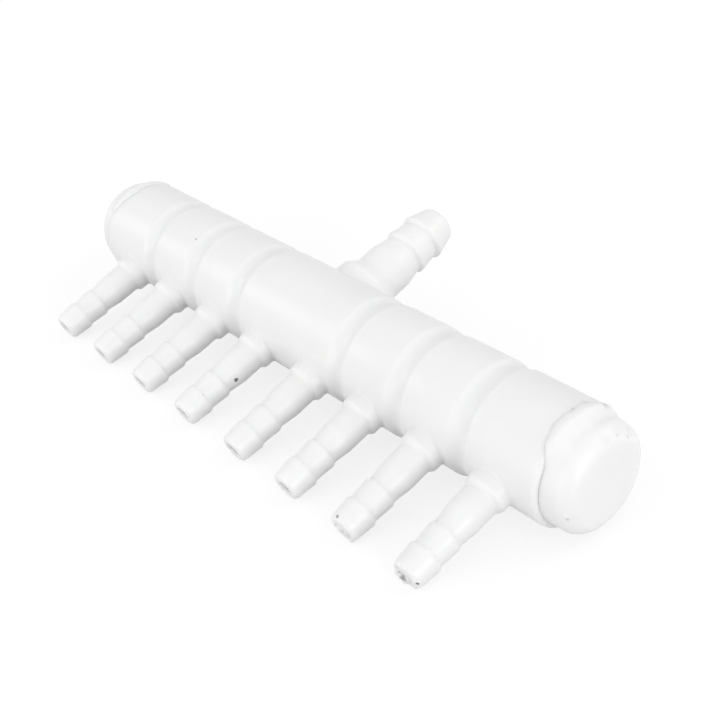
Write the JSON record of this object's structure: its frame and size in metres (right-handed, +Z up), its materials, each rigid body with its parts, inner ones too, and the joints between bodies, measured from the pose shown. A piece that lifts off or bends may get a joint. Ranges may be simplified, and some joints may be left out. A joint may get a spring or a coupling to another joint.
{
  "type": "barbed hose manifold",
  "caption": "Straight tubular hose manifold with a row of barbed outlets on one side, a larger barbed inlet opposite and a plug cap closing each end.",
  "frame": {"origin": "on the floor, under the middle of the outline box", "axes": "+X along the tube towards the near end of the picture, outlets towards -Y, inlet towards +Y, +Z up from the floor the part lies on"},
  "size_m": [0.1602, 0.073, 0.0266],
  "materials": {
    "moulded_body": "satin white polyethylene, as moulded",
    "end_cap": "satin white polyethylene, as moulded"
  },
  "bodies": {
    "root": {"manifold_body": "moulded_body", "left_end_cap": "end_cap", "right_end_cap": "end_cap"}
  },
  "joints": []
}
